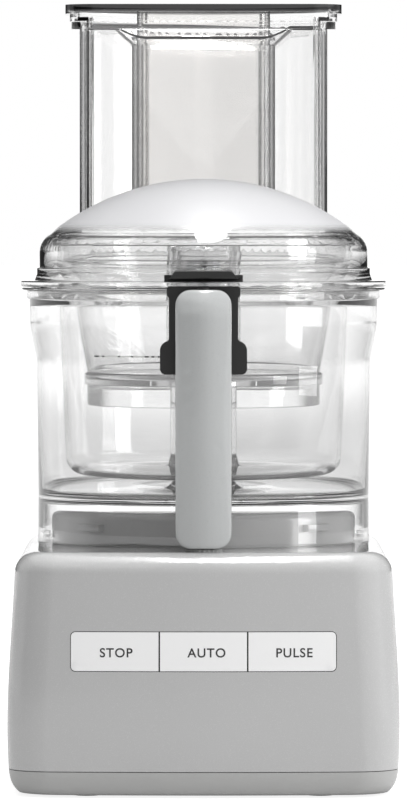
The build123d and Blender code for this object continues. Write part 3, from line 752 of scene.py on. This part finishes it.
# %% Soft grip
grip_mesh = welded("handle_shell")
grip_half = (grip_high.x - grip_low.x) / 2
grip_middle = (grip_high.y + grip_low.y) / 2
grip_half_depth = grip_middle - grip_low.y
front_sag = 5.5
top_slope = 16.0
top_sag = 7.0
long_edges = [edge for edge in grip_mesh.edges if edge.calc_length() > 6 * MM]
bmesh.ops.subdivide_edges(grip_mesh, edges=long_edges, cuts=6)
bmesh.ops.triangulate(grip_mesh, faces=grip_mesh.faces[:])
for point in grip_mesh.verts:
    across = point.co.x / MM / grip_half
    forward = max(0.0, (grip_middle - point.co.y / MM) / grip_half_depth)
    near_top = max(0.0, (point.co.z / MM - grip_high.z) / top_slope + 1)
    point.co.y += (front_sag * across**2 + top_sag * near_top**2) * forward * MM
grip = stand_in("handle_shell", grip_mesh, handle_pp, sharp=60)
voxels = grip.modifiers.new("rebuild_skin", "REMESH")
voxels.mode = "VOXEL"
voxels.voxel_size = 0.8 * MM
voxels.use_smooth_shade = True
relax = grip.modifiers.new("round_all_edges", "SMOOTH")
relax.factor = 0.5
relax.iterations = 12
print("grip stands from z", round(grip_low.z, 1), "to", round(grip_high.z, 1))

# %% [markdown]
# ## The rubber gaiter under the grip
# A small round seal keeps water off the plunger. On the real object it is a turned shape with a
# knurled edge, so one profile is spun round the plunger's axis, and every second step of the spin
# is drawn in a little, which leaves the knurls standing between.

# %% Knurled gaiter
gaiter_middle = (gaiter_low + gaiter_high) / 2
gaiter_reach = (gaiter_high.x - gaiter_low.x) / 2
gaiter_bore, gaiter_neck, chamfer = 3.4, 6.0, 0.5
knurl_count = 48
groove_share = 0.94
collar_under = gaiter_high.z - 1.4
gaiter_mesh = spun(
    [
        (gaiter_bore, gaiter_low.z, 0), (gaiter_neck, gaiter_low.z, 0),
        (gaiter_neck, collar_under, 0), (gaiter_reach, collar_under, 0),
        (gaiter_reach, gaiter_high.z - chamfer, 0), (gaiter_reach - chamfer, gaiter_high.z, 0),
        (gaiter_bore, gaiter_high.z, 0),
    ],
    steps=knurl_count,
)
for point in gaiter_mesh.verts:
    turn = math.atan2(point.co.y, point.co.x) / math.tau * knurl_count
    on_rim = math.hypot(point.co.x, point.co.y) > gaiter_reach - 1
    if on_rim and round(turn) % 2:
        point.co.x *= groove_share
        point.co.y *= groove_share
aside = (gaiter_middle.x, gaiter_middle.y, 0)
bmesh.ops.translate(gaiter_mesh, verts=gaiter_mesh.verts, vec=aside)
to_metres(gaiter_mesh)
stand_in("plunger_gaiter", gaiter_mesh, grey_rubber, sharp=25)
print("gaiter reaches", round(gaiter_reach, 1), "mm from its axis")

# %% [markdown]
# ## Printed words and the level mark
# The keys carry the words STOP, AUTO and PULSE, pad printed in dark grey. Ink has almost no
# thickness, so the letters are a flat mesh made from a text curve, laid on the bowed key: a ray is
# cast from in front of each point, and the point is moved to a hair's breadth before the surface.
# The same helper lays the level mark, a white line with small dark ticks, on the bowl's wall.


# %% Laying ink on a surface
def laid_on(mesh, surface, lift_mm=0.06):
    """Moves each point of a flat bmesh back along +Y until it lies just before a surface."""
    target = bmesh.new()
    target.from_mesh(surface.data)
    tree = BVHTree.FromBMesh(target)
    target.free()
    for point in mesh.verts:
        start = Vector((point.co.x, -1, point.co.z))
        hit = tree.ray_cast(start, Vector((0, 1, 0)))[0]
        if hit:
            point.co.y = hit.y - lift_mm * MM


cap_height = 4.75
cap_share = 0.70
stroke_extra = 0.09
word_z = 77.6
letter_gap = 1.12
stand_up = Matrix.Rotation(math.pi / 2, 4, "X")
# Each word has its key and the place of its middle.
for key_name, word, middle in (
    ("key_stop", "STOP", -46.3), ("key_auto", "AUTO", 1.7), ("key_pulse", "PULSE", 48.0),
):
    text = bpy.data.curves.new(word.lower() + "_word", "FONT")
    text.body = word
    text.size = cap_height / cap_share
    text.offset = stroke_extra
    text.space_character = letter_gap
    text.align_x = "CENTER"
    text.align_y = "BOTTOM_BASELINE"
    holder = bpy.data.objects.new(word.lower() + "_text", text)
    scene.collection.objects.link(holder)
    flat = bpy.data.meshes.new_from_object(
        holder.evaluated_get(bpy.context.evaluated_depsgraph_get()),
    )
    bpy.data.objects.remove(holder)
    letters = bmesh.new()
    letters.from_mesh(flat)
    upright = Matrix.Translation((middle, 0, word_z - cap_height / 2)) @ stand_up
    bmesh.ops.transform(letters, matrix=upright, verts=letters.verts)
    to_metres(letters)
    laid_on(letters, skins[key_name])
    piece = add_piece(
        word.lower() + "_word", letters, key_ink, node_body[key_name],
    )
    print(word, "is", round(piece.dimensions.x / MM, 1), "mm wide")

# %% Level mark on the main bowl
mark_z = 233.0
mark_from, mark_to = -59.0, -18.0


def strip(name, left, right, height, material, lift_mm):
    """A thin printed strip on the front of the main bowl."""
    mesh = bmesh.new()
    bmesh.ops.create_grid(mesh, x_segments=24, y_segments=1, size=0.5)
    placed = (
        Matrix.Translation(((left + right) / 2, 0, mark_z))
        @ stand_up
        @ Matrix.Diagonal((right - left, height, 1, 1))
    )
    bmesh.ops.transform(mesh, matrix=placed, verts=mesh.verts)
    to_metres(mesh)
    laid_on(mesh, skins["main_bowl"], lift_mm)
    return add_piece(name, mesh, material, node_body["main_bowl"])


strip("level_line", mark_from, mark_to, height=0.9, material=white_ink, lift_mm=0.05)
# Each dark tick has a middle and a width.
ticks = (
    (-57.5, 2.4), (-54.0, 1.2), (-45.5, 1.0), (-38.5, 1.4), (-30.5, 2.2), (-27.2, 1.6), (-24, 1),
)
for number, (middle, width) in enumerate(ticks):
    strip(
        f"level_tick_{number}", middle - width / 2, middle + width / 2,
        height=0.7, material=key_ink, lift_mm=0.1,
    )
print("level mark runs from x", mark_from, "to", mark_to)

# %% [markdown]
# ## Floor and backdrop
# The object stands on a plain white floor that runs far back, so that no horizon shows. A clear
# part has no colour of its own: it shows what it bends or reflects. So the world is built as a
# product studio for glass. A bright white panel fills only the view straight behind the object,
# dark panels stand close beside and above it, and they draw the thin dark outlines. Softer white
# panels farther out, and a white ceiling, fill in the rest.

# %% Floor
floor_mesh = bmesh.new()
bmesh.ops.create_grid(floor_mesh, x_segments=4, y_segments=4, size=40.0)
floor_data = mesh_data("studio_floor", floor_mesh)
floor = bpy.data.objects.new("studio_floor", floor_data)
scene.collection.objects.link(floor)
floor_paint, floor_output = new_material("painted_studio_floor")
floor_place = node(floor_paint, "ShaderNodeTexCoord").outputs["Object"]
floor_reach = node(floor_paint, "ShaderNodeVectorMath", {"operation": "LENGTH"}, _0=floor_place)
far_glow = ramp(
    floor_paint, floor_reach.outputs["Value"], start=1.5, end=4.0, low=0.2, high=0.65, smooth=True,
)
seen_floor = node(floor_paint, "ShaderNodeLightPath").outputs["Is Camera Ray"]
glow = node(
    floor_paint, "ShaderNodeMix", {"data_type": "FLOAT"}, Factor=seen_floor, A=far_glow, B=0.8,
)
floor_shader = node(
    floor_paint, "ShaderNodeBsdfPrincipled", Base_Color=linear("BCBCBC"), Roughness=0.9,
    Emission_Color=linear("FFFFFF"), Emission_Strength=glow.outputs["Result"],
)
finish_material(floor_paint, floor_output, floor_shader)
floor_data.materials.append(floor_paint)

# %% World: white panel behind, dark panels round it, white ceiling
world = bpy.data.worlds.new("studio_world")
scene.world = world
world.use_nodes = True
world.node_tree.nodes.clear()
sky = node(world, "ShaderNodeTexCoord").outputs["Generated"]
aim = node(world, "ShaderNodeSeparateXYZ", Vector=sky).outputs
side = maths(world, "ABSOLUTE", aim["X"])
panel_across = ramp(world, side, start=0.10, end=0.19, low=1.18, high=0.0, smooth=True)
panel_up = ramp(world, aim["Z"], start=0.14, end=0.30, low=1.0, high=0.0, smooth=True)
panel = maths(world, "MULTIPLY", panel_across, panel_up)
side_fill = ramp(world, side, start=0.5, end=0.85, low=0.05, high=0.55, smooth=True)
behind = maths(world, "MAXIMUM", panel, side_fill)
front = ramp(world, aim["X"], start=-0.45, end=0.6, low=0.05, high=0.95, smooth=True)
forward = ramp(world, aim["Y"], start=-0.15, end=0.15, smooth=True)
around = node(
    world, "ShaderNodeMix", {"data_type": "FLOAT"}, Factor=forward, A=front, B=behind,
).outputs["Result"]
ceiling = ramp(world, aim["Z"], start=0.45, end=0.8, high=1.05, smooth=True)
lit = maths(world, "MAXIMUM", around, ceiling)
seen = node(world, "ShaderNodeLightPath").outputs["Is Camera Ray"]
level = node(
    world, "ShaderNodeMix", {"data_type": "FLOAT"}, Factor=seen, A=lit, B=1.0,
).outputs["Result"]
backdrop = node(world, "ShaderNodeBackground", Color=linear("FFFFFF"), Strength=level)
world_output = world.node_tree.nodes.new("ShaderNodeOutputWorld")
world.node_tree.links.new(backdrop.outputs["Background"], world_output.inputs["Surface"])
print("world is built from", len(world.node_tree.nodes), "nodes")


# %% [markdown]
# ## Lamps
# One large softbox above and a little behind makes the white band on the top edge of the base and
# of the grip. A second at the front right makes that side of the base a little lighter.


# %% Softboxes
def soft_light(name, place, target, size, power):
    """Square softbox at a place in metres, turned to its target."""
    lamp = bpy.data.lights.new(name, "AREA")
    lamp.shape = "RECTANGLE"
    lamp.size, lamp.size_y = size
    lamp.energy = power
    holder = bpy.data.objects.new(name, lamp)
    turned = (Vector(target) - Vector(place)).to_track_quat("-Z", "Y")
    holder.matrix_world = Matrix.Translation(place) @ turned.to_matrix().to_4x4()
    scene.collection.objects.link(holder)
    return holder


soft_light(
    "top_softbox", place=(0.05, -0.05, 1.5), target=(0, -0.05, 0.1), size=(1.1, 0.22), power=12,
)
right_box = soft_light(
    "right_softbox", place=(2.0, -0.45, 0.6), target=(0, 0, 0.2), size=(0.6, 1.3), power=13,
)
right_box.visible_glossy = False
print("the right softbox gives shade to the grip, and leaves no streak on the clear bowls")

# %% [markdown]
# ## Camera
# A long lens from three and a half metres keeps the base and the lid nearly free of perspective.

# %% Camera and view
eye_height = 0.3064
eye_distance = 3.563
look_down, look_ahead = 181.5, 6500
tilt = math.atan(look_down / look_ahead)
lens_data = bpy.data.cameras.new("studio_camera")
lens_data.lens = 291.4
lens_data.sensor_width = 36
lens_data.clip_end = 200
camera = bpy.data.objects.new("studio_camera", lens_data)
camera.location = (0, -eye_distance, eye_height)
camera.rotation_euler = (math.radians(90) - tilt, 0, 0)
scene.collection.objects.link(camera)
scene.camera = camera
scene.view_settings.view_transform = "Standard"
scene.cycles.max_bounces = 40
scene.cycles.transmission_bounces = 36
scene.cycles.transparent_max_bounces = 32
print("camera tilts down by", round(math.degrees(tilt), 2), "degrees")
